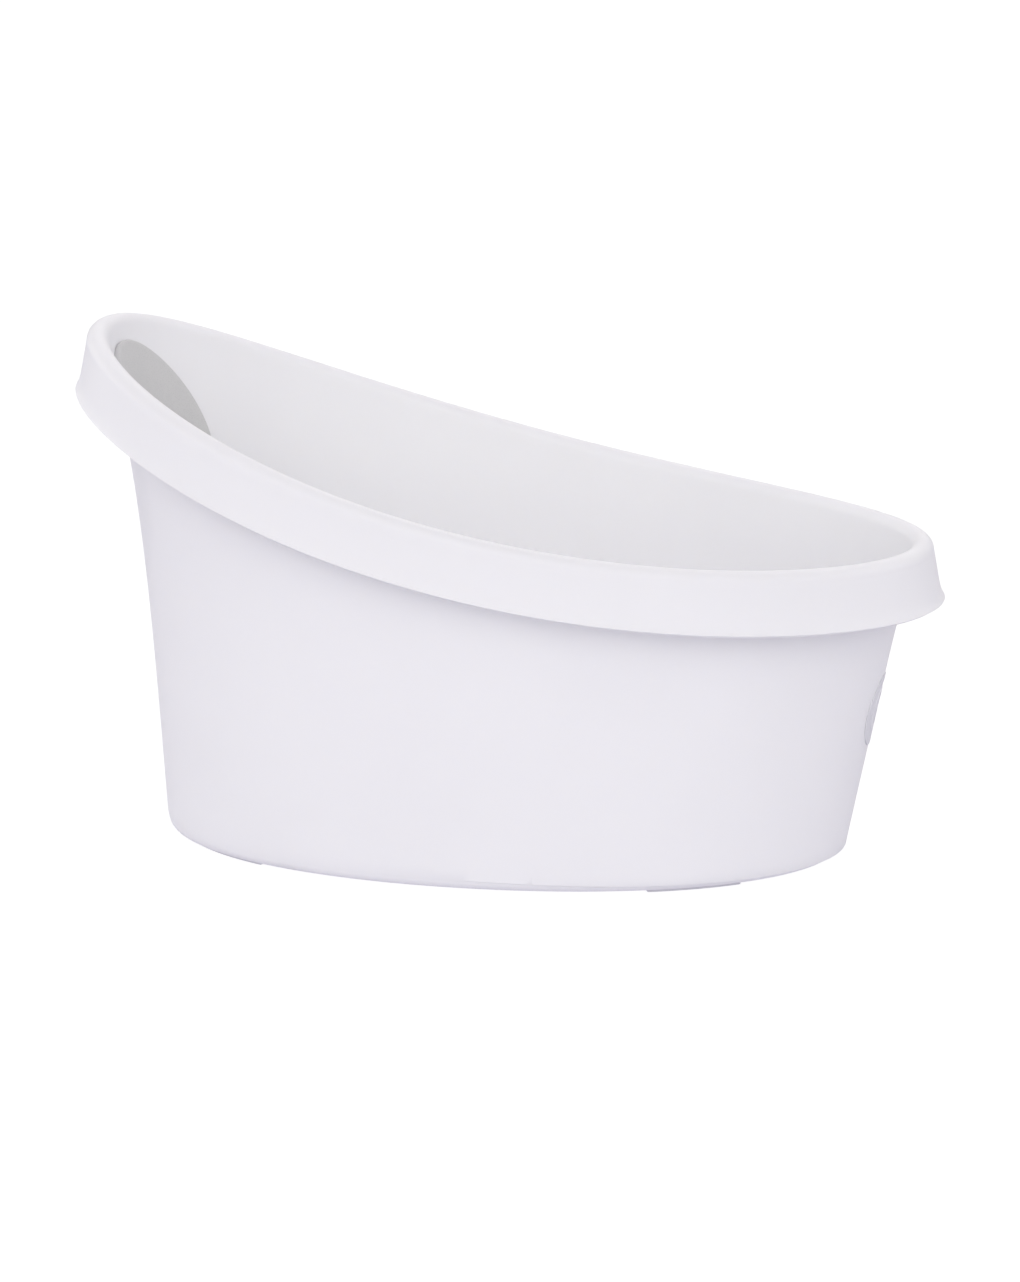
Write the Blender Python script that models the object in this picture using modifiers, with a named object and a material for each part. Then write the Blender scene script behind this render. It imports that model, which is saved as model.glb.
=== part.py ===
"""Free-standing upright baby bath tub.

Metres, +Z up, origin on the ground under the middle of the rim. +X is the low toe end, -X the high
back end, Y is across. One moulded plastic shell stands on four rubber feet. A foam backrest pad, a
round badge and a drain plug are fitted to it.
"""
import math

import bmesh
import bpy
from mathutils import Vector

# Overall sizes
RIM_LENGTH = 0.580          # over the bead at the lower edge of the skirt
RIM_WIDTH = 0.375
HEAD_HEIGHT = 0.351         # top of the rim above the base: back end, middle and toe end
MID_HEIGHT = 0.242
TOE_HEIGHT = 0.212
RIM_WAVE = -0.006           # how the rim's slope eases towards both ends
BASE_LENGTH = 0.460
BASE_WIDTH = 0.285
BASE_SHIFT = -0.003         # middle of the base, along X

# Plan outlines: 2 is an ellipse, more is squarer; egg is how much wider the toe half is
RIM_SQUARENESS = 2.07
RIM_EGG = -0.043
BASE_SQUARENESS = 2.05
BASE_EGG = 0.005

# Moulding
WALL = 0.003
ROLL = 0.0074               # outer radius of the rolled rim
SKIRT_DROP = 0.039          # from the top of the rim to the lower edge of the skirt
SKIRT_FLARE = 0.006
BEAD = 0.0018               # how far the bead stands out of the skirt
BEAD_HEIGHT = 0.004
BASE_FILLET = 0.0094
WALL_CURVE_HEAD = 0.445     # share of the wall's lean that happens close to the rim, back end
WALL_CURVE_TOE = 0.050
WALL_CURVE_POWER = 3.9
FLOOR_RISE = 0.006          # floor above the flat ring that the tub stands on
RISE_RUN = 0.010

# Seat bump in the floor
SEAT_X = 0.030
SEAT_LENGTH = 0.120
SEAT_WIDTH = 0.170
SEAT_HEIGHT = 0.022

# Drain and plug
DRAIN_X = 0.145
DRAIN_RADIUS = 0.014
PLUG_CLEARANCE = 0.0003
PLUG_BELOW_FLOOR = 0.003    # how far the stopper reaches past the floor
PLUG_TAPER = 0.0008
PLUG_LAP = 0.005            # flange past the edge of the drain
PLUG_FLANGE_HEIGHT = 0.003
PLUG_NECK_RADIUS = 0.005
PLUG_KNOB_RADIUS = 0.009
PLUG_KNOB_HEIGHT = 0.014    # top of the knob above the flange

# Feet
FOOT_PROUD = 0.002
FOOT_SUNK = 0.0012
FOOT_LENGTH = 0.064
FOOT_WIDTH = 0.012
FOOT_OUTER_MARGIN = 0.0002  # foot to the fillet
FOOT_INNER_MARGIN = 0.0054  # foot to the rise of the floor
FOOT_HEAD_ANGLE = 140.0     # degrees round the base from the toe end
FOOT_TOE_ANGLE = 49.0
FOOT_GAP = 0.0003

# Backrest pad
PAD_WIDTH = 0.151
PAD_HEIGHT = 0.173
PAD_BELOW_RIM = 0.0175      # top of the pad below the top of the rim
PAD_THICKNESS = 0.006
PAD_GLUE = 0.0007

# Badge
BADGE_RADIUS = 0.024
BADGE_MIDDLE = 0.100        # above the base
BADGE_THICKNESS = 0.0014
BADGE_SUNK = 0.0011
BADGE_GAP = 0.0003

# Worked out from the sizes above
FOOT_INSET = BASE_FILLET + FOOT_OUTER_MARGIN
BASE_RING = FOOT_INSET + FOOT_WIDTH + FOOT_INNER_MARGIN
FLOOR_TOP = FOOT_PROUD + FLOOR_RISE + WALL

SHELL_SIDES = 64
WHITE = (0.82, 0.82, 0.85, 1.0)
PAD_GREY = (0.50, 0.50, 0.50, 1.0)
BADGE_GREY = (0.60, 0.60, 0.61, 1.0)
RUBBER_GREY = (0.62, 0.62, 0.64, 1.0)


def clear_scene():
    for old in list(bpy.data.objects):
        bpy.data.objects.remove(old, do_unlink=True)


def make_collection(name):
    collection = bpy.data.collections.new(name)
    bpy.context.scene.collection.children.link(collection)
    return collection


def make_material(name, color, roughness):
    material = bpy.data.materials.new(name)
    material.use_nodes = True
    shader = material.node_tree.nodes["Principled BSDF"]
    shader.inputs["Base Color"].default_value = color
    shader.inputs["Roughness"].default_value = roughness
    shader.inputs["Metallic"].default_value = 0.0
    material.diffuse_color = color
    return material


def add_object(name, mesh, collection, material=None):
    obj = bpy.data.objects.new(name, mesh)
    collection.objects.link(obj)
    if material:
        mesh.materials.append(material)
    return obj


def mesh_from_rings(name, pole, rings):
    """Open sheet: a fan round a pole, then closed rings of points, each joined to the next.

    The rings run anticlockwise and grow outwards, so the faces point at the viewer.
    """
    bm = bmesh.new()
    centre = bm.verts.new(pole)
    rows = [[bm.verts.new(point) for point in ring] for ring in rings]
    count = len(rings[0])
    for i in range(count):
        j = (i + 1) % count
        bm.faces.new((centre, rows[0][i], rows[0][j]))
        for inner, outer in zip(rows, rows[1:]):
            bm.faces.new((inner[i], outer[i], outer[j], inner[j]))
    mesh = bpy.data.meshes.new(name)
    bm.to_mesh(mesh)
    bm.free()
    mesh.shade_smooth()
    return mesh


def smooth_by_angle(mesh, degrees=35):
    mesh.shade_smooth()
    mesh.set_sharp_from_angle(angle=math.radians(degrees))


def solidify(obj, thickness, offset):
    shell = obj.modifiers.new("thickness", "SOLIDIFY")
    shell.thickness = thickness
    shell.offset = offset
    shell.use_even_offset = True


def cut(obj, cutter):
    boolean = obj.modifiers.new("cut_" + cutter.name, "BOOLEAN")
    boolean.operation = "DIFFERENCE"
    boolean.solver = "EXACT"
    boolean.object = cutter


def hide_cutter(obj):
    obj.hide_render = True
    obj.display_type = "WIRE"


# Shape of the tub -------------------------------------------------------------------------------

def oval(angle, length, width, squareness, egg, shift=0.0):
    """Point of an egg-like superellipse at an angle round it, counted from the toe end."""
    power = 2 / squareness
    c = math.copysign(abs(math.cos(angle)) ** power, math.cos(angle))
    s = math.copysign(abs(math.sin(angle)) ** power, math.sin(angle))
    return Vector((shift + length / 2 * c, width / 2 * s * (1 + egg * c), 0))


def outward(outline, angle, step=0.01):
    """Outward normal of an outline, in plan."""
    along = outline(angle + step) - outline(angle - step)
    return Vector((along.y, -along.x, 0)).normalized()


def rim_outline(angle):
    return oval(angle, RIM_LENGTH, RIM_WIDTH, RIM_SQUARENESS, RIM_EGG)


def base_outline(angle):
    return oval(angle, BASE_LENGTH, BASE_WIDTH, BASE_SQUARENESS, BASE_EGG, BASE_SHIFT)


def base_inset(angle, inset):
    return base_outline(angle) - outward(base_outline, angle) * inset


def rim_height(x):
    """Top of the rim at a place along the tub, above the ground."""
    t = x / (RIM_LENGTH / 2)
    tilt = (TOE_HEIGHT - HEAD_HEIGHT) / 2
    sag = (TOE_HEIGHT + HEAD_HEIGHT) / 2 - MID_HEIGHT
    return FOOT_PROUD + MID_HEIGHT + tilt * t + sag * t * t + RIM_WAVE * (t ** 3 - t)


def roll_centre(angle):
    """Centre of the rolled rim's section."""
    point = rim_outline(angle) - outward(rim_outline, angle) * (BEAD + SKIRT_FLARE + ROLL)
    point.z = rim_height(point.x) - ROLL
    return point


def wall_point(angle, share, inward=0.0):
    """Point of the wall at a share of its height, measured in from its outer face."""
    top = roll_centre(angle)
    normal = outward(rim_outline, angle)
    height = top.z - FOOT_PROUD
    toe = (1 + math.cos(angle)) / 2
    curve = WALL_CURVE_HEAD * (1 - toe) + WALL_CURVE_TOE * toe
    lean = (1 - curve) * share + curve * share ** WALL_CURVE_POWER
    outer_top = top - normal * (ROLL - WALL)
    point = base_outline(angle).lerp(outer_top, lean) - normal * inward
    point.z = FOOT_PROUD + share * height
    return point


def wall_place(y, z, head, inward):
    """Point of the back wall (or of the toe wall) at a given Y and height."""
    flat, steep = (math.pi, math.pi / 2) if head else (0.0, math.pi / 2)
    for _ in range(50):
        middle = (flat + steep) / 2
        top = roll_centre(middle).z - FOOT_PROUD
        if wall_point(middle, (z - FOOT_PROUD) / top, inward).y < abs(y):
            flat = middle
        else:
            steep = middle
    point = wall_point(middle, (z - FOOT_PROUD) / top, inward)
    return Vector((point.x, y, z))


def seat_bump(point):
    across = point.y / (SEAT_WIDTH / 2)
    along = (point.x - SEAT_X) / (SEAT_LENGTH / 2)
    reach = across * across + along * along
    return SEAT_HEIGHT * (1 - reach) ** 2 if reach < 1 else 0.0


def floor_ring(angles, share):
    """Ring of the raised floor at a share of the way from the seat bump to its edge, upper face."""
    ring = []
    for angle in angles:
        edge = base_inset(angle, BASE_RING + RISE_RUN)
        point = Vector((SEAT_X, 0, 0)).lerp(edge, share)
        point.z = FLOOR_TOP + seat_bump(point)
        ring.append(point)
    return ring


def base_rings(angles):
    """Floor's edge, the ring that the tub stands on and the fillet up to the wall, upper face."""
    rings = []
    for inset, rise in ((BASE_RING + RISE_RUN * 0.75, 0.85), (BASE_RING + RISE_RUN * 0.25, 0.15),
                        (BASE_RING, 0.0)):
        ring = [base_inset(angle, inset) for angle in angles]
        for point in ring:
            point.z = FOOT_PROUD + WALL + FLOOR_RISE * rise
        rings.append(ring)
    radius = BASE_FILLET - WALL
    for degrees in (90, 60, 30):
        turn = math.radians(degrees)
        ring = [base_inset(angle, BASE_FILLET - radius * math.cos(turn)) for angle in angles]
        for point in ring:
            point.z = FOOT_PROUD + BASE_FILLET - radius * math.sin(turn)
        rings.append(ring)
    return rings


def wall_rings(angles):
    low = BASE_FILLET / MID_HEIGHT
    shares = [low + (1 - low) * i / 9 for i in range(9)]
    return [[wall_point(angle, share, WALL) for angle in angles] for share in shares]


def rim_rings(angles):
    """Rolled rim, skirt and bead, from inside the tub over to the lower edge outside."""
    rings = []
    for degrees in range(180, -1, -30):
        turn = math.radians(degrees)
        across, up = ROLL * math.cos(turn), ROLL * math.sin(turn)
        rings.append([roll_centre(a) + outward(rim_outline, a) * across + Vector((0, 0, up))
                      for a in angles])
    skirt = SKIRT_DROP - ROLL
    step = BEAD_HEIGHT * 0.4
    profile = (
        (SKIRT_FLARE * 0.3, skirt * 0.3),
        (SKIRT_FLARE * 0.65, skirt * 0.65),
        (SKIRT_FLARE, skirt - BEAD_HEIGHT),
        (SKIRT_FLARE + BEAD, skirt - BEAD_HEIGHT + step),
        (SKIRT_FLARE + BEAD, skirt),
    )
    for out, down in profile:
        rings.append([roll_centre(a) + outward(rim_outline, a) * (ROLL + out) - Vector((0, 0, down))
                      for a in angles])
    return rings


# Sub-parts --------------------------------------------------------------------------------------

def strip_on_base(name, middle_degrees, length, width, inset, z, collection, material=None):
    """Flat open strip that follows the edge of the base."""
    middle = math.radians(middle_degrees)
    per_radian = (base_inset(middle + 0.05, inset) - base_inset(middle - 0.05, inset)).length / 0.1
    half = length / 2 / per_radian
    bm = bmesh.new()
    steps = 12
    pairs = []
    for i in range(steps + 1):
        angle = middle - half + 2 * half * i / steps
        pair = [base_inset(angle, inset), base_inset(angle, inset + width)]
        pairs.append([bm.verts.new((point.x, point.y, z)) for point in pair])
    for first, second in zip(pairs, pairs[1:]):
        bm.faces.new((first[0], second[0], second[1], first[1]))
    mesh = bpy.data.meshes.new(name)
    bm.to_mesh(mesh)
    bm.free()
    return add_object(name, mesh, collection, material)


def make_foot(name, degrees, parts, cutters, shell, material):
    """Rubber strip glued into a shallow pocket under the base."""
    pocket = strip_on_base(name + "_pocket", degrees, FOOT_LENGTH + 2 * FOOT_GAP,
                           FOOT_WIDTH + 2 * FOOT_GAP, FOOT_INSET - FOOT_GAP,
                           FOOT_PROUD + FOOT_SUNK, cutters)
    solidify(pocket, FOOT_SUNK + FOOT_PROUD, -1)
    hide_cutter(pocket)
    cut(shell, pocket)
    foot = strip_on_base(name, degrees, FOOT_LENGTH, FOOT_WIDTH, FOOT_INSET,
                         FOOT_PROUD + FOOT_SUNK - FOOT_GAP, parts, material)
    solidify(foot, FOOT_PROUD + FOOT_SUNK - FOOT_GAP, -1)
    edges = foot.modifiers.new("soft_edges", "BEVEL")
    edges.width = 0.0006
    edges.segments = 2
    edges.limit_method = "ANGLE"
    edges.angle_limit = math.radians(50)
    smooth_by_angle(foot.data)
    return foot


def make_shell(parts, material):
    """One moulding: floor, wall, rolled rim and skirt as one sheet, thickened to the dry side."""
    angles = [2 * math.pi * i / SHELL_SIDES for i in range(SHELL_SIDES)]
    rings = [floor_ring(angles, share) for share in (0.16, 0.33, 0.5, 0.66, 0.82, 1.0)]
    rings += base_rings(angles) + wall_rings(angles) + rim_rings(angles)
    middle = (SEAT_X, 0, FLOOR_TOP + SEAT_HEIGHT)
    shell = add_object("tub_shell", mesh_from_rings("tub_shell", middle, rings), parts, material)
    solidify(shell, WALL, -1)
    return shell


def cut_drain(shell, cutters):
    bpy.ops.mesh.primitive_cylinder_add(vertices=40, radius=DRAIN_RADIUS, depth=4 * FLOOR_TOP,
                                        location=(DRAIN_X, 0, FLOOR_TOP))
    cutter = bpy.context.object
    cutter.name = "drain_cutter"
    cutter.users_collection[0].objects.unlink(cutter)
    cutters.objects.link(cutter)
    hide_cutter(cutter)
    cut(shell, cutter)


def make_plug(parts, material):
    """Turned rubber stopper: tapered plug, flange and a waisted knob to pull it by."""
    stopper = DRAIN_RADIUS - PLUG_CLEARANCE
    depth = WALL + PLUG_BELOW_FLOOR
    rim = DRAIN_RADIUS + PLUG_LAP
    flange = PLUG_CLEARANCE + PLUG_FLANGE_HEIGHT
    knob = flange + PLUG_KNOB_HEIGHT
    profile = (
        (0.0, knob),
        (PLUG_KNOB_RADIUS * 0.6, knob - 0.0004),
        (PLUG_KNOB_RADIUS * 0.93, knob - 0.0018),
        (PLUG_KNOB_RADIUS, knob - 0.0038),
        (PLUG_KNOB_RADIUS * 0.85, knob - 0.0056),
        (PLUG_NECK_RADIUS, knob - 0.0080),
        (PLUG_NECK_RADIUS, flange + 0.0020),
        (PLUG_NECK_RADIUS + 0.0020, flange),
        (rim - 0.0010, flange - 0.0006),
        (rim, flange - 0.0016),
        (rim, PLUG_CLEARANCE),
        (stopper, PLUG_CLEARANCE),
        (stopper - PLUG_TAPER, -depth + 0.0010),
        (stopper - PLUG_TAPER - 0.0010, -depth),
        (0.0, -depth),
    )
    mesh = bpy.data.meshes.new("drain_plug")
    points = [(radius, 0, height) for radius, height in profile]
    mesh.from_pydata(points, [(i, i + 1) for i in range(len(points) - 1)], [])
    plug = add_object("drain_plug", mesh, parts, material)
    turn = plug.modifiers.new("turn", "SCREW")
    turn.steps = 36
    turn.render_steps = 36
    turn.use_merge_vertices = True
    turn.merge_threshold = 0.00005
    turn.use_smooth_shade = True
    plug.location = (DRAIN_X, 0, FLOOR_TOP)
    return plug


def wall_disc(name, head, half_width, half_height, middle, inward, rings, sides, collection,
              material=None):
    """Open oval sheet that follows the back wall or the toe wall and faces +X."""
    loops = []
    for i in range(1, rings + 1):
        share = i / rings
        loop = []
        for k in range(sides):
            turn = 2 * math.pi * k / sides
            y = half_width * share * math.cos(turn)
            z = middle + half_height * share * math.sin(turn)
            loop.append(wall_place(y, z, head, inward))
        loops.append(loop)
    pole = wall_place(0.0, middle, head, inward)
    return add_object(name, mesh_from_rings(name, pole, loops), collection, material)


def make_pad(parts, material):
    """Foam pad stuck to the inside of the back wall."""
    top = roll_centre(math.pi).z + ROLL - PAD_BELOW_RIM
    pad = wall_disc("backrest_pad", True, PAD_WIDTH / 2, PAD_HEIGHT / 2, top - PAD_HEIGHT / 2,
                    WALL + PAD_GLUE, 5, 32, parts, material)
    solidify(pad, PAD_THICKNESS, 1)
    return pad


def make_badge(parts, cutters, shell, material):
    """Plain round badge let into the outside of the toe wall."""
    middle = FOOT_PROUD + BADGE_MIDDLE
    recess = wall_disc("badge_recess", False, BADGE_RADIUS + BADGE_GAP, BADGE_RADIUS + BADGE_GAP,
                       middle, BADGE_SUNK, 3, 32, cutters)
    solidify(recess, BADGE_SUNK + 0.004, 1)
    hide_cutter(recess)
    cut(shell, recess)
    badge = wall_disc("badge", False, BADGE_RADIUS, BADGE_RADIUS, middle,
                      BADGE_SUNK - BADGE_GAP, 3, 32, parts, material)
    solidify(badge, BADGE_THICKNESS, 1)
    return badge


clear_scene()
parts = make_collection("baby_bath_tub")
cutters = make_collection("cutters")
plastic = make_material("white_plastic", WHITE, 0.45)
foam = make_material("grey_foam", PAD_GREY, 0.9)
badge_plastic = make_material("grey_plastic", BADGE_GREY, 0.5)
rubber = make_material("grey_rubber", RUBBER_GREY, 0.7)

tub = make_shell(parts, plastic)
cut_drain(tub, cutters)
make_plug(parts, rubber)
make_foot("foot_head_near", -FOOT_HEAD_ANGLE, parts, cutters, tub, rubber)
make_foot("foot_head_far", FOOT_HEAD_ANGLE, parts, cutters, tub, rubber)
make_foot("foot_toe_near", -FOOT_TOE_ANGLE, parts, cutters, tub, rubber)
make_foot("foot_toe_far", FOOT_TOE_ANGLE, parts, cutters, tub, rubber)
make_pad(parts, foam)
make_badge(parts, cutters, tub, badge_plastic)
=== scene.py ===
import math

import bmesh
import bpy
from mathutils import Matrix, Vector
from mathutils.bvhtree import BVHTree


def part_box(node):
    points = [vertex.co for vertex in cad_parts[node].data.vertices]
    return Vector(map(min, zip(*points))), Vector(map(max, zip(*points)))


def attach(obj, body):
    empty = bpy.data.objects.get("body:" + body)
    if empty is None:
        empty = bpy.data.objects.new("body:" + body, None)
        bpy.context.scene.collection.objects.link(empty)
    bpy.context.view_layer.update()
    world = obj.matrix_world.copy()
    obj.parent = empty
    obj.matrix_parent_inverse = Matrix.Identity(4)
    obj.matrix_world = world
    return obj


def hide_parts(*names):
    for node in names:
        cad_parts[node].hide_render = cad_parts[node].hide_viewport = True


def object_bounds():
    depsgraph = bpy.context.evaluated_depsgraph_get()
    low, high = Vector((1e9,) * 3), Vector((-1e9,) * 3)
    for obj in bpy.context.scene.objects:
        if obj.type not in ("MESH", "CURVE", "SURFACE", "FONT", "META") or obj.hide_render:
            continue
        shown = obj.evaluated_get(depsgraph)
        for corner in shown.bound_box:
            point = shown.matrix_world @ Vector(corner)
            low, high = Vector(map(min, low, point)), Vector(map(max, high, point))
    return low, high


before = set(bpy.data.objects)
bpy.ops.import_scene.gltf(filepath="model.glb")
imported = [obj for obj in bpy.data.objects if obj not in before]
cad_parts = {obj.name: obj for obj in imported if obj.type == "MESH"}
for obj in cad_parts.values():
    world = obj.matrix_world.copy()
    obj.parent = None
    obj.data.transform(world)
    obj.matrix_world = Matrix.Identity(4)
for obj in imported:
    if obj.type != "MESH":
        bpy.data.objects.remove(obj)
cad_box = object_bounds()

# Tub shell --------------------------------------------------------------------------------------
# One injection-moulded polypropylene shell: raised floor with a seat bump, leaning wall, and a rim
# that is rolled over into a flared skirt with a bead at its lower edge. The wall's section is drawn
# once, in metres, and a node tree carries it round the egg-shaped outlines of the base and the rim.

# Rim: outline of the whole tub, and the height of its top edge above the base
LOW, HIGH = cad_box
RIM_LENGTH = HIGH.x - LOW.x
RIM_WIDTH = HIGH.y - LOW.y
RIM_SQUARENESS = 2.07        # power of the superellipse, 2 for a plain ellipse
RIM_EGG = -0.043             # how much narrower the toe end is than the middle
HEAD_HEIGHT = 0.351
MID_HEIGHT = 0.242
TOE_HEIGHT = 0.212
RIM_WAVE = -0.006

# Base
BASE_LENGTH = 0.460
BASE_WIDTH = 0.285
BASE_SHIFT = -0.003          # along the tub, towards the back end
BASE_SQUARENESS = 2.05
BASE_EGG = 0.005
BASE_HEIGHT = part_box("tub_shell")[0].z
BASE_FILLET = 0.0094

# Section: wall, roll of the rim, and skirt with its bead
WALL = 0.003
ROLL = 0.0074
SKIRT_DROP = 0.039
SKIRT_FLARE = 0.006
BEAD = 0.0018
BEAD_HEIGHT = 0.012
CURVE_HEAD = 0.445           # how much of the lean comes close to the rim, at each end
CURVE_TOE = 0.050
CURVE_POWER = 3.9

# Feet and their pockets, and the raised floor inside the ring that they sit in
FOOT_LENGTH = 0.064
FOOT_WIDTH = 0.012
FOOT_INSET = BASE_FILLET + 0.0002
FOOT_SUNK = 0.0012
FOOT_GAP = 0.0003
FOOT_ANGLES = {"foot_head_near": -140, "foot_head_far": 140,
               "foot_toe_near": -49, "foot_toe_far": 49}
BASE_RING = FOOT_INSET + FOOT_WIDTH + 0.0054
FLOOR_RISE = 0.006
RISE_RUN = 0.010
FLOOR_TOP = BASE_HEIGHT + FLOOR_RISE + WALL

# Seat bump, drain hole and recess for the badge
SEAT_X = 0.030
SEAT_LENGTH = 0.120
SEAT_WIDTH = 0.170
SEAT_HEIGHT = 0.022
DRAIN_RADIUS = 0.014
BADGE_SUNK = 0.0011
BADGE_GAP = 0.0003

# Mesh: sides round the tub, and steps along each stretch of the section
SHELL_SIDES = 256
FLOOR_STEPS = 40
RISE_STEPS = 12
FILLET_STEPS = 9
WALL_STEPS = 36
ROLL_STEPS = 18
SKIRT_STEPS = 24


def add_node(tree, kind, inputs=(), **settings):
    """Add a node: settings are its properties, inputs are values, sockets or whole nodes."""
    node = tree.nodes.new(kind)
    for name, value in settings.items():
        setattr(node, name, value)
    for key, value in (inputs.items() if isinstance(inputs, dict) else enumerate(inputs)):
        if isinstance(value, bpy.types.Node):
            value = value.outputs[0]
        if isinstance(value, bpy.types.NodeSocket):
            tree.links.new(value, node.inputs[key])
        elif value is not None:
            node.inputs[key].default_value = value
    return node


def new_tree(name, inputs, output):
    """Node group with named inputs, given as name: (socket type, value)."""
    tree = bpy.data.node_groups.new(name, "GeometryNodeTree")
    for label, (kind, value) in inputs.items():
        socket = tree.interface.new_socket(label, in_out="INPUT", socket_type="NodeSocket" + kind)
        if value is not None:
            socket.default_value = value
    tree.interface.new_socket(output, in_out="OUTPUT", socket_type="NodeSocket" + output)
    return tree


def oval_tree():
    """Egg-like superellipse: the point at an angle round it."""
    tree = new_tree("oval_point", {
        "Angle": ("Float", 0.0), "Length": ("Float", 0.5), "Width": ("Float", 0.3),
        "Squareness": ("Float", 2.0), "Egg": ("Float", 0.0), "Shift": ("Float", 0.0),
    }, "Vector")
    given = add_node(tree, "NodeGroupInput").outputs
    cos = add_node(tree, "ShaderNodeMath", [given["Angle"]], operation="COSINE")
    sin = add_node(tree, "ShaderNodeMath", [given["Angle"]], operation="SINE")
    round_ = add_node(tree, "ShaderNodeCombineXYZ", [cos, sin])
    power = add_node(tree, "ShaderNodeMath", [2.0, given["Squareness"]], operation="DIVIDE")
    powers = add_node(tree, "ShaderNodeCombineXYZ", [power, power, 1.0])
    size = add_node(tree, "ShaderNodeVectorMath", [round_], operation="ABSOLUTE")
    bent = add_node(tree, "ShaderNodeVectorMath", [size, powers], operation="POWER")
    sign = add_node(tree, "ShaderNodeVectorMath", [round_], operation="SIGN")
    unit = add_node(tree, "ShaderNodeVectorMath", [bent, sign], operation="MULTIPLY")
    parts = add_node(tree, "ShaderNodeSeparateXYZ", [unit])
    half_length = add_node(tree, "ShaderNodeMath", [given["Length"], 0.5], operation="MULTIPLY")
    half_width = add_node(tree, "ShaderNodeMath", [given["Width"], 0.5], operation="MULTIPLY")
    x = add_node(tree, "ShaderNodeMath", [half_length, parts.outputs["X"], given["Shift"]],
                 operation="MULTIPLY_ADD")
    wider = add_node(tree, "ShaderNodeMath", [given["Egg"], parts.outputs["X"], 1.0],
                     operation="MULTIPLY_ADD")
    across = add_node(tree, "ShaderNodeMath", [half_width, parts.outputs["Y"]],
                      operation="MULTIPLY")
    y = add_node(tree, "ShaderNodeMath", [across, wider], operation="MULTIPLY")
    point = add_node(tree, "ShaderNodeCombineXYZ", [x, y])
    add_node(tree, "NodeGroupOutput", [point])
    return tree


OVAL = oval_tree()
OUTLINE_STEP = 0.01          # radians to each side, for the direction of the outline


def add_outline(tree, angle, length, width, squareness, egg, shift=0.0):
    """Two sockets: a point of an outline and the outline's outward normal at it."""
    points = []
    for step in (0.0, OUTLINE_STEP, -OUTLINE_STEP):
        turned = add_node(tree, "ShaderNodeMath", [angle, step], operation="ADD")
        point = add_node(tree, "GeometryNodeGroup", node_tree=OVAL)
        for name, value in zip(("Angle", "Length", "Width", "Squareness", "Egg", "Shift"),
                               (turned.outputs[0], length, width, squareness, egg, shift)):
            if isinstance(value, bpy.types.NodeSocket):
                tree.links.new(value, point.inputs[name])
            else:
                point.inputs[name].default_value = value
        points.append(point)
    along = add_node(tree, "ShaderNodeVectorMath", [points[1], points[2]], operation="SUBTRACT")
    across = add_node(tree, "ShaderNodeVectorMath", [along, (0, 0, 1)], operation="CROSS_PRODUCT")
    normal = add_node(tree, "ShaderNodeVectorMath", [across], operation="NORMALIZE")
    return points[0].outputs[0], normal.outputs[0]


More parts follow.
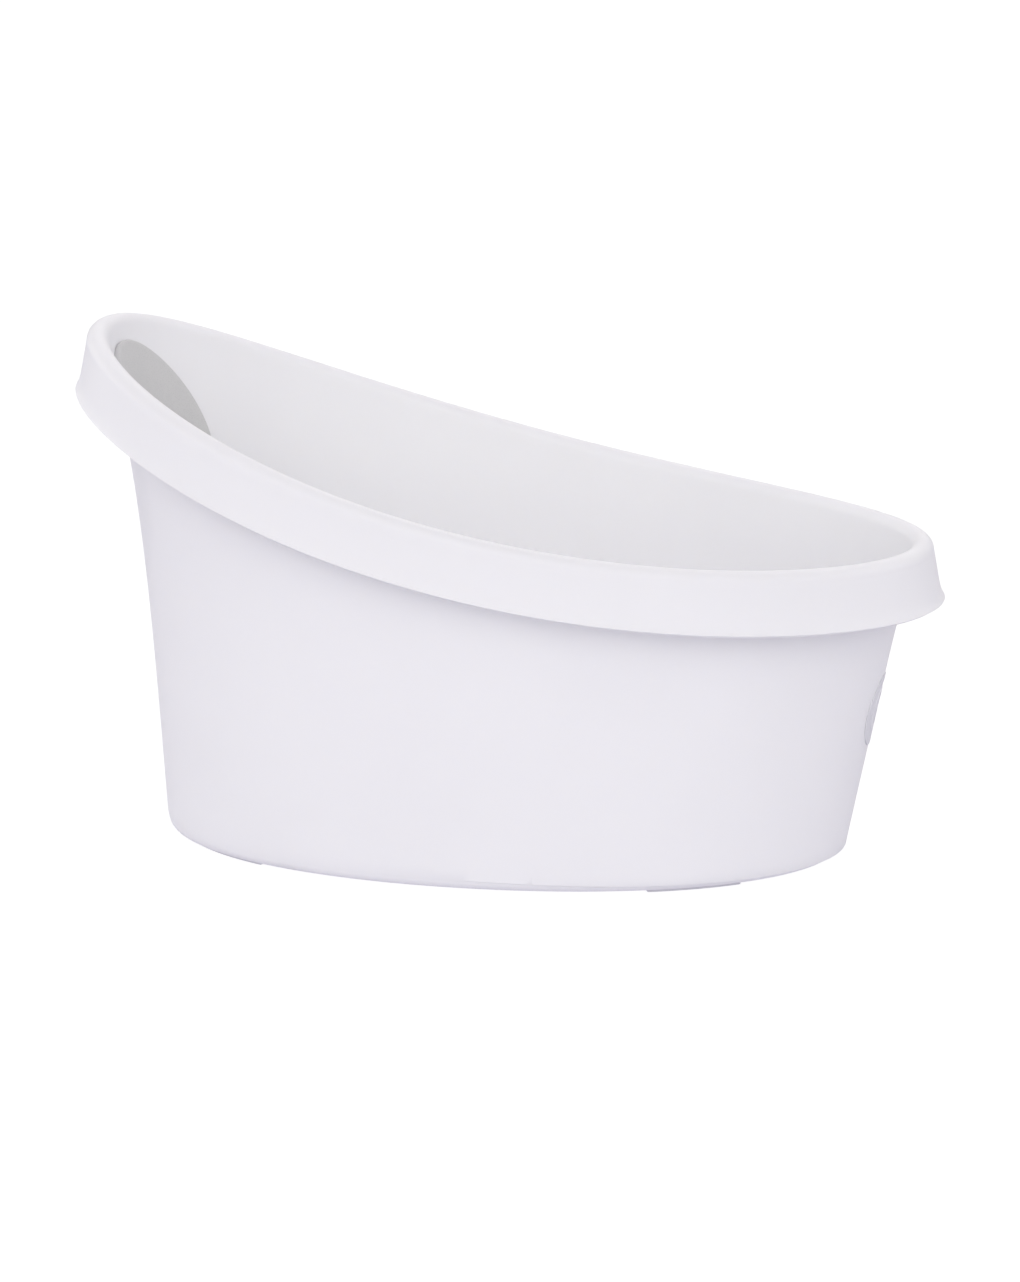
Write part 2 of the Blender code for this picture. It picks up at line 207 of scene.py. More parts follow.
def shell_tree():
    """Carry the section on the base mesh round the tub. Its X is out and its Z is up."""
    tree = new_tree("moulded_tub_shell", {
        "Section": ("Geometry", None), "Section Points": ("Int", 2), "Sides": ("Int", 64),
        "Rim Length": ("Float", 0.5), "Rim Width": ("Float", 0.3),
        "Base Length": ("Float", 0.4), "Base Width": ("Float", 0.2),
        "Head Height": ("Float", 0.3), "Middle Height": ("Float", 0.2),
        "Toe Height": ("Float", 0.2), "Base Height": ("Float", 0.0),
        "Overhang": ("Float", 0.01), "Roll": ("Float", 0.007), "Wall": ("Float", 0.003),
        "Seat Height": ("Float", 0.02), "Material": ("Material", None),
    }, "Geometry")
    given = add_node(tree, "NodeGroupInput").outputs
    columns = add_node(tree, "ShaderNodeMath", [given["Sides"], 1.0], operation="ADD")
    grid = add_node(tree, "GeometryNodeMeshGrid", [1.0, 1.0, columns, given["Section Points"]])
    place = add_node(tree, "ShaderNodeSeparateXYZ", [add_node(tree, "GeometryNodeInputPosition")])
    share_round = add_node(tree, "ShaderNodeMath", [place.outputs["X"], 0.5], operation="ADD")
    angle = add_node(tree, "ShaderNodeMath", [share_round, math.tau], operation="MULTIPLY")
    share_along = add_node(tree, "ShaderNodeMath", [place.outputs["Y"], 0.5], operation="ADD")
    last = add_node(tree, "ShaderNodeMath", [given["Section Points"], 1.0], operation="SUBTRACT")
    station = add_node(tree, "ShaderNodeMath", [share_along, last], operation="MULTIPLY")
    index = add_node(tree, "ShaderNodeMath", [station], operation="ROUND")

    drawn = add_node(tree, "GeometryNodeInputPosition")
    drawn = add_node(tree, "GeometryNodeSampleIndex", [given["Section"], drawn, index],
                     data_type="FLOAT_VECTOR")
    drawn = add_node(tree, "ShaderNodeSeparateXYZ", [drawn])
    shares = []
    for label in ("floor_share", "wall_share"):
        stored = add_node(tree, "GeometryNodeInputNamedAttribute", [label], data_type="FLOAT")
        shares.append(add_node(tree, "GeometryNodeSampleIndex", [given["Section"], stored, index]))
    floor_share, wall_share = shares

    base, base_out = add_outline(tree, angle.outputs[0], given["Base Length"],
                                 given["Base Width"], BASE_SQUARENESS, BASE_EGG, BASE_SHIFT)
    rim, rim_out = add_outline(tree, angle.outputs[0], given["Rim Length"], given["Rim Width"],
                               RIM_SQUARENESS, RIM_EGG)

    # Centre of the roll: in from the rim's outline by the overhang, at the height of the rim there
    step_in = add_node(tree, "ShaderNodeVectorMath", {0: rim_out, 3: given["Overhang"]},
                       operation="SCALE")
    roll = add_node(tree, "ShaderNodeVectorMath", [rim, step_in], operation="SUBTRACT")
    roll_x = add_node(tree, "ShaderNodeSeparateXYZ", [roll]).outputs["X"]
    half = add_node(tree, "ShaderNodeMath", [given["Rim Length"], 0.5], operation="MULTIPLY")
    t = add_node(tree, "ShaderNodeMath", [roll_x, half], operation="DIVIDE")
    ends = add_node(tree, "ShaderNodeMath", [given["Toe Height"], given["Head Height"]],
                    operation="ADD")
    sag = add_node(tree, "ShaderNodeMath", [ends, 0.5], operation="MULTIPLY")
    sag = add_node(tree, "ShaderNodeMath", [sag, given["Middle Height"]], operation="SUBTRACT")
    tilt = add_node(tree, "ShaderNodeMath", [given["Toe Height"], given["Head Height"]],
                    operation="SUBTRACT")
    tilt = add_node(tree, "ShaderNodeMath", [tilt, 0.5], operation="MULTIPLY")
    squared = add_node(tree, "ShaderNodeMath", [t, t], operation="MULTIPLY")
    wave = add_node(tree, "ShaderNodeMath", [squared, 1.0], operation="SUBTRACT")
    wave = add_node(tree, "ShaderNodeMath", [wave, RIM_WAVE, tilt], operation="MULTIPLY_ADD")
    height = add_node(tree, "ShaderNodeMath", [wave, t, given["Middle Height"]],
                      operation="MULTIPLY_ADD")
    height = add_node(tree, "ShaderNodeMath", [sag, squared, height], operation="MULTIPLY_ADD")
    rise = add_node(tree, "ShaderNodeMath", [height, given["Roll"]], operation="SUBTRACT")

    # The wall leans out from the base to the roll, more of it close to the rim at the back end
    inner = add_node(tree, "ShaderNodeMath", [given["Roll"], given["Wall"]], operation="SUBTRACT")
    step_in = add_node(tree, "ShaderNodeVectorMath", {0: rim_out, 3: inner}, operation="SCALE")
    wall_top = add_node(tree, "ShaderNodeVectorMath", [roll, step_in], operation="SUBTRACT")
    toe = add_node(tree, "ShaderNodeMath", [angle], operation="COSINE")
    toe = add_node(tree, "ShaderNodeMath", [toe, 0.5, 0.5], operation="MULTIPLY_ADD")
    curve = add_node(tree, "ShaderNodeMapRange", [toe, 0.0, 1.0, CURVE_HEAD, CURVE_TOE])
    late = add_node(tree, "ShaderNodeMath", [wall_share, CURVE_POWER], operation="POWER")
    late = add_node(tree, "ShaderNodeMath", [late, wall_share], operation="SUBTRACT")
    lean = add_node(tree, "ShaderNodeMath", [late, curve, wall_share], operation="MULTIPLY_ADD")
    wall = add_node(tree, "ShaderNodeMix", {0: lean, 4: base, 5: wall_top}, data_type="VECTOR")
    out = add_node(tree, "ShaderNodeMix", {0: wall_share, 4: base_out, 5: rim_out},
                   data_type="VECTOR")
    out = add_node(tree, "ShaderNodeVectorMath", [out.outputs[1]], operation="NORMALIZE")
    shift = add_node(tree, "ShaderNodeVectorMath", {0: out, 3: drawn.outputs["X"]},
                     operation="SCALE")
    plan = add_node(tree, "ShaderNodeVectorMath", [wall.outputs[1], shift], operation="ADD")
    plan = add_node(tree, "ShaderNodeMix", {0: floor_share, 4: (SEAT_X, 0, 0), 5: plan},
                    data_type="VECTOR")
    plan = add_node(tree, "ShaderNodeSeparateXYZ", [plan.outputs[1]]).outputs

    # Seat bump: a smooth swell of the floor
    along = add_node(tree, "ShaderNodeMath", [plan["X"], SEAT_X], operation="SUBTRACT")
    along = add_node(tree, "ShaderNodeMath", [along, SEAT_LENGTH / 2], operation="DIVIDE")
    across = add_node(tree, "ShaderNodeMath", [plan["Y"], SEAT_WIDTH / 2], operation="DIVIDE")
    reach = add_node(tree, "ShaderNodeMath", [along, along], operation="MULTIPLY")
    reach = add_node(tree, "ShaderNodeMath", [across, across, reach], operation="MULTIPLY_ADD")
    swell = add_node(tree, "ShaderNodeMath", [1.0, reach], operation="SUBTRACT", use_clamp=True)
    swell = add_node(tree, "ShaderNodeMath", [swell, 2.0], operation="POWER")
    swell = add_node(tree, "ShaderNodeMath", [swell, given["Seat Height"]], operation="MULTIPLY")
    up = add_node(tree, "ShaderNodeMath", [wall_share, rise, drawn.outputs["Z"]],
                  operation="MULTIPLY_ADD")
    up = add_node(tree, "ShaderNodeMath", [up, swell], operation="ADD")
    up = add_node(tree, "ShaderNodeMath", [up, given["Base Height"]], operation="ADD")

    point = add_node(tree, "ShaderNodeCombineXYZ", [plan["X"], plan["Y"], up])
    moved = add_node(tree, "GeometryNodeSetPosition", {"Geometry": grid, "Position": point})
    closed = add_node(tree, "GeometryNodeMergeByDistance", {"Geometry": moved, "Distance": 0.00002})
    real = add_node(tree, "GeometryNodeRealizeInstances", [closed])
    smooth = add_node(tree, "GeometryNodeSetShadeSmooth", [real])
    painted = add_node(tree, "GeometryNodeSetMaterial",
                       {"Geometry": smooth, "Material": given["Material"]})
    add_node(tree, "NodeGroupOutput", [painted])
    return tree


def shell_section():
    """Upper face of the shell's section: (out, up, share of the floor, share of the wall)."""
    top = FLOOR_RISE + WALL
    inset = BASE_RING + RISE_RUN
    points = [(-inset, top, i / FLOOR_STEPS, 0.0) for i in range(FLOOR_STEPS)]
    for i in range(RISE_STEPS + 1):
        share = i / RISE_STEPS
        eased = share * share * (3 - 2 * share)
        points.append((-inset + RISE_RUN * share, top - FLOOR_RISE * eased, 1.0, 0.0))
    radius = BASE_FILLET - WALL
    for i in range(1, FILLET_STEPS):
        turn = math.pi / 2 * i / FILLET_STEPS
        points.append((-BASE_FILLET + radius * math.sin(turn),
                       BASE_FILLET - radius * math.cos(turn), 1.0, 0.0))
    first = BASE_FILLET / MID_HEIGHT
    points += [(-WALL, 0.0, 1.0, first + (1 - first) * i / WALL_STEPS)
               for i in range(WALL_STEPS)]
    centre = ROLL - WALL
    for i in range(ROLL_STEPS + 1):
        turn = math.pi * (1 - i / ROLL_STEPS)
        points.append((centre + ROLL * math.cos(turn), ROLL * math.sin(turn), 1.0, 1.0))
    skirt = SKIRT_DROP - ROLL
    for i in range(1, SKIRT_STEPS + 1):
        share = i / SKIRT_STEPS
        bead = max(0.0, 1 - (1 - share) * skirt / BEAD_HEIGHT)
        out = centre + ROLL + SKIRT_FLARE * share + BEAD * bead ** 3
        points.append((out, -skirt * share, 1.0, 1.0))
    return points


def srgb(code):
    """Linear colour of an sRGB hex value such as F2F2F4."""
    values = [int(code[i:i + 2], 16) / 255 for i in (0, 2, 4)]
    return tuple(v / 12.92 if v <= 0.04045 else ((v + 0.055) / 1.055) ** 2.4 for v in values) + (1,)


def moulded_polypropylene():
    """White polypropylene from a fine spark-eroded mould: satin, slightly cool, faintly uneven,
    and milky, so that light from behind a wall comes through it a little."""
    material = bpy.data.materials.new("moulded_polypropylene")
    material.use_nodes = True
    tree = material.node_tree
    shader = tree.nodes["Principled BSDF"]
    shader.inputs["IOR"].default_value = 1.49
    shader.inputs["Subsurface Weight"].default_value = 0.45
    shader.inputs["Subsurface Radius"].default_value = (1.0, 0.97, 0.92)
    shader.inputs["Subsurface Scale"].default_value = 0.0035
    place = add_node(tree, "ShaderNodeTexCoord").outputs["Object"]
    # Flow marks: clouds some 90 mm across, a hundredth lighter or darker
    flow = add_node(tree, "ShaderNodeTexNoise", {"Vector": place, "Scale": 11.0, "Detail": 2.0})
    tint = add_node(tree, "ShaderNodeMix", {0: flow, 6: srgb("F0F0F2"), 7: srgb("F3F3F5")},
                    data_type="RGBA")
    tree.links.new(tint.outputs[2], shader.inputs["Base Color"])
    gloss = add_node(tree, "ShaderNodeMapRange", [flow, 0.3, 0.7, 0.50, 0.58])
    tree.links.new(gloss.outputs[0], shader.inputs["Roughness"])
    # Spark-eroded grain, 0.6 mm, drawn a little coarser than the real 0.2 mm so that it can show
    grain = add_node(tree, "ShaderNodeTexNoise", {"Vector": place, "Scale": 1600.0, "Detail": 2.0})
    bump = add_node(tree, "ShaderNodeBump", {"Height": grain, "Strength": 0.10,
                                             "Distance": 0.0002})
    tree.links.new(bump.outputs[0], shader.inputs["Normal"])
    return material


def apply_modifiers(obj):
    """Turn an object's evaluated shape into its own plain mesh and drop its modifiers."""
    evaluated = obj.evaluated_get(bpy.context.evaluated_depsgraph_get())
    mesh = bpy.data.meshes.new_from_object(evaluated)
    obj.modifiers.clear()
    obj.data = mesh
    mesh.name = obj.name


def run_nodes(obj, tree, values):
    """Give an object a node tree with named input values, and keep its result as a plain mesh."""
    modifier = obj.modifiers.new(tree.name, "NODES")
    modifier.node_group = tree
    for item in tree.interface.items_tree:
        if item.in_out == "INPUT" and item.name in values:
            modifier[item.identifier] = values[item.name]
    apply_modifiers(obj)


def new_piece(name, mesh):
    """Object with this mesh, in the scene."""
    obj = bpy.data.objects.new(name, mesh)
    bpy.context.scene.collection.objects.link(obj)
    return obj


def cut_with(obj, cutter):
    """Subtract a cutter for good, and remove the cutter."""
    boolean = obj.modifiers.new("cut", "BOOLEAN")
    boolean.operation = "DIFFERENCE"
    boolean.solver = "EXACT"
    boolean.object = cutter
    apply_modifiers(obj)
    bpy.data.objects.remove(cutter)


def strip_tree():
    """Lay a block along the outline of the base: its X runs along, its Y inwards, its Z up."""
    tree = new_tree("strip_under_base", {
        "Base Length": ("Float", 0.4), "Base Width": ("Float", 0.2),
        "Middle Angle": ("Float", 0.0), "Length": ("Float", 0.06), "Width": ("Float", 0.01),
        "Inset": ("Float", 0.01), "Bottom": ("Float", 0.0), "Top": ("Float", 0.003),
        "Edge Radius": ("Float", 0.0), "Rib Pitch": ("Float", 0.003), "Rib Depth": ("Float", 0.0),
        "Plain Border": ("Float", 0.0015), "Material": ("Material", None),
    }, "Geometry")
    given = add_node(tree, "NodeGroupInput").outputs
    block = add_node(tree, "GeometryNodeMeshCube", [(1, 1, 1), 161, 13, 9])
    place = add_node(tree, "ShaderNodeSeparateXYZ", [add_node(tree, "GeometryNodeInputPosition")])

    # How far the rounded edges pull in at this height
    share_up = add_node(tree, "ShaderNodeMath", [place.outputs["Z"], 0.5], operation="ADD")
    height = add_node(tree, "ShaderNodeMath", [given["Top"], given["Bottom"]],
                      operation="SUBTRACT")
    above = add_node(tree, "ShaderNodeMath", [share_up, height], operation="MULTIPLY")
    below = add_node(tree, "ShaderNodeMath", [height, above], operation="SUBTRACT")
    near = add_node(tree, "ShaderNodeMath", [above, below], operation="MINIMUM")
    near = add_node(tree, "ShaderNodeMath", [near, given["Edge Radius"]], operation="MINIMUM")
    level = add_node(tree, "ShaderNodeMath", [given["Edge Radius"], near], operation="SUBTRACT")
    level = add_node(tree, "ShaderNodeMath", [level, level], operation="MULTIPLY")
    chord = add_node(tree, "ShaderNodeMath", [given["Edge Radius"], given["Edge Radius"]],
                     operation="MULTIPLY")
    chord = add_node(tree, "ShaderNodeMath", [chord, level], operation="SUBTRACT")
    chord = add_node(tree, "ShaderNodeMath", [chord], operation="SQRT")
    pull = add_node(tree, "ShaderNodeMath", [given["Edge Radius"], chord], operation="SUBTRACT")
    pull = add_node(tree, "ShaderNodeMath", [pull, 2.0], operation="MULTIPLY")
    length = add_node(tree, "ShaderNodeMath", [given["Length"], pull], operation="SUBTRACT")
    width = add_node(tree, "ShaderNodeMath", [given["Width"], pull], operation="SUBTRACT")
    along = add_node(tree, "ShaderNodeMath", [place.outputs["X"], length], operation="MULTIPLY")
    across = add_node(tree, "ShaderNodeMath", [place.outputs["Y"], width], operation="MULTIPLY")

    # Metres to radians at the middle of the strip, from the chord between two points beside it
    probe = 0.05
    ends = []
    for step in (probe, -probe):
        turned = add_node(tree, "ShaderNodeMath", [given["Middle Angle"], step], operation="ADD")
        point, out = add_outline(tree, turned.outputs[0], given["Base Length"],
                                 given["Base Width"], BASE_SQUARENESS, BASE_EGG, BASE_SHIFT)
        step_in = add_node(tree, "ShaderNodeVectorMath", {0: out, 3: given["Inset"]},
                           operation="SCALE")
        ends.append(add_node(tree, "ShaderNodeVectorMath", [point, step_in],
                             operation="SUBTRACT"))
    chord = add_node(tree, "ShaderNodeVectorMath", ends, operation="DISTANCE").outputs["Value"]
    turn = add_node(tree, "ShaderNodeMath", [along, 2 * probe], operation="MULTIPLY")
    turn = add_node(tree, "ShaderNodeMath", [turn, chord], operation="DIVIDE")
    angle = add_node(tree, "ShaderNodeMath", [turn, given["Middle Angle"]], operation="ADD")
    point, out = add_outline(tree, angle.outputs[0], given["Base Length"], given["Base Width"],
                             BASE_SQUARENESS, BASE_EGG, BASE_SHIFT)
    inset = add_node(tree, "ShaderNodeMath", [given["Width"], 0.5, given["Inset"]],
                     operation="MULTIPLY_ADD")
    inset = add_node(tree, "ShaderNodeMath", [inset, across], operation="ADD")
    step_in = add_node(tree, "ShaderNodeVectorMath", {0: out, 3: inset}, operation="SCALE")
    plan = add_node(tree, "ShaderNodeVectorMath", [point, step_in], operation="SUBTRACT")
    plan = add_node(tree, "ShaderNodeSeparateXYZ", [plan]).outputs

    # Grip ribs across the underside, inside a plain border
    phase = add_node(tree, "ShaderNodeMath", [along, given["Rib Pitch"]], operation="DIVIDE")
    phase = add_node(tree, "ShaderNodeMath", [phase, math.tau], operation="MULTIPLY")
    wave = add_node(tree, "ShaderNodeMath", [phase], operation="COSINE")
    wave = add_node(tree, "ShaderNodeMath", [wave, -0.5, 0.5], operation="MULTIPLY_ADD")
    free = []
    for size, run in ((length, along), (width, across)):
        away = add_node(tree, "ShaderNodeMath", [run], operation="ABSOLUTE")
        free.append(add_node(tree, "ShaderNodeMath", [size, 0.5], operation="MULTIPLY"))
        free[-1] = add_node(tree, "ShaderNodeMath", [free[-1], away], operation="SUBTRACT")
    free = add_node(tree, "ShaderNodeMath", free, operation="MINIMUM")
    twice = add_node(tree, "ShaderNodeMath", [given["Plain Border"], 2.0], operation="MULTIPLY")
    inside = add_node(tree, "ShaderNodeMapRange", [free, given["Plain Border"], twice, 0.0, 1.0],
                      interpolation_type="SMOOTHSTEP")
    under = add_node(tree, "ShaderNodeMath", [share_up, 0.01], operation="LESS_THAN")
    groove = add_node(tree, "ShaderNodeMath", [wave, given["Rib Depth"]], operation="MULTIPLY")
    groove = add_node(tree, "ShaderNodeMath", [groove, inside], operation="MULTIPLY")
    groove = add_node(tree, "ShaderNodeMath", [groove, under], operation="MULTIPLY")
    up = add_node(tree, "ShaderNodeMath", [above, given["Bottom"]], operation="ADD")
    up = add_node(tree, "ShaderNodeMath", [up, groove], operation="ADD")

    point = add_node(tree, "ShaderNodeCombineXYZ", [plan["X"], plan["Y"], up])
    moved = add_node(tree, "GeometryNodeSetPosition", {"Geometry": block, "Position": point})
    real = add_node(tree, "GeometryNodeRealizeInstances", [moved])
    painted = add_node(tree, "GeometryNodeSetMaterial",
                       {"Geometry": real, "Material": given["Material"]})
    add_node(tree, "NodeGroupOutput", [painted])
    return tree


def face_outwards(mesh):
    """Turn the faces of a closed mesh outwards, and shade it smooth between its sharp edges."""
    bm = bmesh.new()
    bm.from_mesh(mesh)
    bmesh.ops.remove_doubles(bm, verts=bm.verts, dist=0.000001)
    bmesh.ops.recalc_face_normals(bm, faces=bm.faces)
    bm.to_mesh(mesh)
    bm.free()
    mesh.shade_smooth()
    mesh.set_sharp_from_angle(angle=math.radians(40))


def base_strip(name, degrees, length, width, inset, bottom, top, edge=0.0, ribs=0.0,
               material=None):
    """Piece that lies under the edge of the base, in the middle at an angle round it."""
    strip = new_piece(name, bpy.data.meshes.new(name))
    run_nodes(strip, STRIP, {
        "Base Length": BASE_LENGTH, "Base Width": BASE_WIDTH,
        "Middle Angle": math.radians(degrees), "Length": length, "Width": width, "Inset": inset,
        "Bottom": bottom, "Top": top, "Edge Radius": edge, "Rib Depth": ribs,
        "Material": material,
    })
    face_outwards(strip.data)
    return strip


def wall_at(y, z, side):
    """Inner face of the back wall (side -1) or toe wall (side 1), and its normal into the tub."""
    def probe(step_y, step_z):
        return INNER_WALL.ray_cast(Vector((0, y + step_y, z + step_z)), Vector((side, 0, 0)))[0]

    step = 0.003
    across = probe(step, 0) - probe(-step, 0)
    up = probe(0, step) - probe(0, -step)
    inward = across.cross(up).normalized()
    if inward.x * side > 0:
        inward.negate()
    return probe(0, 0), inward


def wall_disc(name, side, half_width, half_height, middle, profile, sides=160):
    """Closed oval that follows the wall. The profile goes from the middle of its outer face round
    the edge to the middle of its inner face, as (inset from the edge, height above the wall's
    inner face)."""
    bm = bmesh.new()
    loops = []
    for inset, height in profile:
        share = 1 - inset / half_width
        loop = []
        for k in range(sides if share > 0 else 1):
            turn = math.tau * k / sides
            point, inward = wall_at(half_width * share * math.cos(turn),
                                    middle + half_height * share * math.sin(turn), side)
            loop.append(bm.verts.new(point + inward * height))
        loops.append(loop)
    for loop, following in zip(loops, loops[1:]):
        for k in range(sides):
            corners = [loop[(k - 1) % len(loop)], loop[k % len(loop)],
                       following[k % len(following)], following[(k - 1) % len(following)]]
            # At the middle of a face the loop is a single point, which counts once
            bm.faces.new(list(dict.fromkeys(corners)))
    mesh = bpy.data.meshes.new(name)
    bm.to_mesh(mesh)
    bm.free()
    face_outwards(mesh)
    return new_piece(name, mesh)


plastic = moulded_polypropylene()
section = shell_section()
drawing = bpy.data.meshes.new("tub_shell_section")
drawing.from_pydata([(out, 0, up) for out, up, _, _ in section],
                    [(i, i + 1) for i in range(len(section) - 1)], [])
for column, label in ((2, "floor_share"), (3, "wall_share")):
    stored = drawing.attributes.new(label, "FLOAT", "POINT")
    stored.data.foreach_set("value", [row[column] for row in section])
shell = new_piece("moulded_shell", drawing)
run_nodes(shell, shell_tree(), {
    "Section Points": len(section), "Sides": SHELL_SIDES,
    "Rim Length": RIM_LENGTH, "Rim Width": RIM_WIDTH,
    "Base Length": BASE_LENGTH, "Base Width": BASE_WIDTH,
    "Head Height": HEAD_HEIGHT, "Middle Height": MID_HEIGHT, "Toe Height": TOE_HEIGHT,
    "Base Height": BASE_HEIGHT, "Overhang": BEAD + SKIRT_FLARE + ROLL, "Roll": ROLL,
    "Wall": WALL, "Seat Height": SEAT_HEIGHT, "Material": plastic,
})
shell.data.flip_normals()    # the grid runs clockwise seen from above, which leaves it face down

# The sheet so far is the upper face of the moulding. A finer copy of it is what the recess and
# the pad are fitted to.
finer = shell.modifiers.new("finer", "SUBSURF")
finer.levels = 2
finer.render_levels = 2
INNER_WALL = BVHTree.FromObject(shell, bpy.context.evaluated_depsgraph_get())
shell.modifiers.clear()

thick = shell.modifiers.new("wall", "SOLIDIFY")
thick.thickness = WALL
thick.offset = -1
thick.use_even_offset = True
soft = shell.modifiers.new("moulded_edges", "BEVEL")
soft.width = 0.0009
soft.segments = 3
soft.limit_method = "ANGLE"
soft.angle_limit = math.radians(60)
apply_modifiers(shell)

# Drain hole, pockets for the feet and recess for the badge
plug_low, plug_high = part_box("drain_plug")
badge_low, badge_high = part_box("badge")
DRAIN_X = (plug_low.x + plug_high.x) / 2
BADGE_RADIUS = (badge_high.y - badge_low.y) / 2
BADGE_MIDDLE = (badge_high.z + badge_low.z) / 2
STRIP = strip_tree()
hole = bmesh.new()
bmesh.ops.create_cone(hole, cap_ends=True, segments=128, radius1=DRAIN_RADIUS,
                      radius2=DRAIN_RADIUS, depth=FLOOR_TOP * 4,
                      matrix=Matrix.Translation((DRAIN_X, 0, FLOOR_TOP)))
hole_mesh = bpy.data.meshes.new("drain_hole")
hole.to_mesh(hole_mesh)
hole.free()
cut_with(shell, new_piece("drain_hole", hole_mesh))
for name, degrees in FOOT_ANGLES.items():
    cut_with(shell, base_strip(name + "_pocket", degrees, FOOT_LENGTH + 2 * FOOT_GAP,
                               FOOT_WIDTH + 2 * FOOT_GAP, FOOT_INSET - FOOT_GAP,
                               -BASE_HEIGHT, BASE_HEIGHT + FOOT_SUNK))
recess_radius = BADGE_RADIUS + BADGE_GAP
cut_with(shell, wall_disc("badge_recess", 1, recess_radius, recess_radius, BADGE_MIDDLE,
                          [(recess_radius * (1 - i / 12), -2 * WALL) for i in range(12)]
                          + [(0, -2 * WALL), (0, BADGE_SUNK - WALL)]
                          + [(recess_radius * i / 12, BADGE_SUNK - WALL) for i in range(1, 13)]))
shell.data.set_sharp_from_angle(angle=math.radians(40))
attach(shell, "tub")
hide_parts("tub_shell")

# Drain plug -------------------------------------------------------------------------------------
# One-piece stopper of grey silicone rubber, pushed into the drain hole in front of the seat. Two
# thin lips seal it against the hole, and the waisted knob is what one pulls it out by.

# Knob with a dished top, over a waisted neck
KNOB_TOP = plug_high.z - FLOOR_TOP
KNOB_RADIUS = 0.009
KNOB_FLAT = 0.62             # share of the knob's radius that lies inside its rounded rim
KNOB_DISH = 0.0009
KNOB_THICKNESS = 0.0056
NECK_RADIUS = 0.005
NECK_TOP = KNOB_TOP - 0.0070
NECK_FILLET = 0.0030

# Flange on the floor, with a rounded edge
FLANGE_RADIUS = (plug_high.x - plug_low.x) / 2
FLANGE_HEIGHT = 0.0033
FLANGE_EDGE = 0.0012
FLANGE_DISH = 0.0006
FLANGE_GAP = 0.0003

# Hollow stopper with two sealing lips, in the hole
STOPPER_RADIUS = DRAIN_RADIUS - 0.0003
STOPPER_BOTTOM = plug_low.z - FLOOR_TOP
STOPPER_SKIN = 0.0050
HOLLOW_DEPTH = 0.0014
HOLLOW_DRAFT = 0.0008
LIP = 0.0007
LIP_HALF_HEIGHT = 0.0006
LIP_MIDDLES = (-0.0014, -0.0034)
END_ROUND = 0.0010


def silicone_rubber():
    """Grey silicone rubber, pressed in a matt mould: soft dull shine and a dusting of lint."""
    material = bpy.data.materials.new("moulded_silicone_rubber")
    material.use_nodes = True
    tree = material.node_tree
    shader = tree.nodes["Principled BSDF"]
    shader.inputs["IOR"].default_value = 1.41
    place = add_node(tree, "ShaderNodeTexCoord").outputs["Object"]
    # Lint and bloom, in patches of some 4 mm
    lint = add_node(tree, "ShaderNodeTexNoise", {"Vector": place, "Scale": 260.0, "Detail": 5.0})
    tint = add_node(tree, "ShaderNodeMix", {0: lint, 6: srgb("A9A9AC"), 7: srgb("BABABC")},
                    data_type="RGBA")
    tree.links.new(tint.outputs[2], shader.inputs["Base Color"])
    gloss = add_node(tree, "ShaderNodeMapRange", [lint, 0.3, 0.7, 0.48, 0.66])
    tree.links.new(gloss.outputs[0], shader.inputs["Roughness"])
    # Mould grain, 0.5 mm
    grain = add_node(tree, "ShaderNodeTexNoise", {"Vector": place, "Scale": 2000.0})
    bump = add_node(tree, "ShaderNodeBump", {"Height": grain, "Strength": 0.12,
                                             "Distance": 0.0002})
    tree.links.new(bump.outputs[0], shader.inputs["Normal"])
    return material


def plug_profile():
    """Half section of the stopper from the middle of its top to the middle of its underside."""
    points = [(KNOB_RADIUS * KNOB_FLAT * i / 8, KNOB_TOP - KNOB_DISH * (1 - (i / 8) ** 2))
              for i in range(9)]
    rim = KNOB_RADIUS * (1 - KNOB_FLAT)
    for i in range(1, 17):
        turn = math.pi * i / 16
        points.append((KNOB_RADIUS - rim + rim * math.sin(turn) ** 0.9,
                       KNOB_TOP - KNOB_THICKNESS / 2 * (1 - math.cos(turn))))
    points.append((NECK_RADIUS + 0.0004, NECK_TOP))
    for i in range(9):
        turn = math.pi / 2 * i / 8
        points.append((NECK_RADIUS + NECK_FILLET * (1 - math.cos(turn)),
                       FLANGE_HEIGHT + NECK_FILLET * (1 - math.sin(turn))))
    points.append((FLANGE_RADIUS - 2.6 * FLANGE_EDGE, FLANGE_HEIGHT - FLANGE_DISH))
    for i in range(9):
        turn = math.pi / 2 * i / 8
        points.append((FLANGE_RADIUS - FLANGE_EDGE + FLANGE_EDGE * math.sin(turn),
                       FLANGE_HEIGHT - FLANGE_EDGE * 1.2 * (1 - math.cos(turn))))
    core = STOPPER_RADIUS - LIP
    points += [(FLANGE_RADIUS, 2 * FLANGE_GAP), (FLANGE_RADIUS - FLANGE_GAP, FLANGE_GAP),
               (core, FLANGE_GAP)]
    for middle in LIP_MIDDLES:
        for i in range(7):
            turn = math.pi * i / 6
            points.append((core + LIP * math.sin(turn), middle + LIP_HALF_HEIGHT * math.cos(turn)))
    hollow = STOPPER_RADIUS - STOPPER_SKIN
    points += [(core, STOPPER_BOTTOM + END_ROUND),
               (core - END_ROUND * 0.3, STOPPER_BOTTOM + END_ROUND * 0.3),
               (core - END_ROUND, STOPPER_BOTTOM), (hollow, STOPPER_BOTTOM),
               (hollow - HOLLOW_DRAFT, STOPPER_BOTTOM + HOLLOW_DEPTH),
               (0.0, STOPPER_BOTTOM + HOLLOW_DEPTH)]
    return points


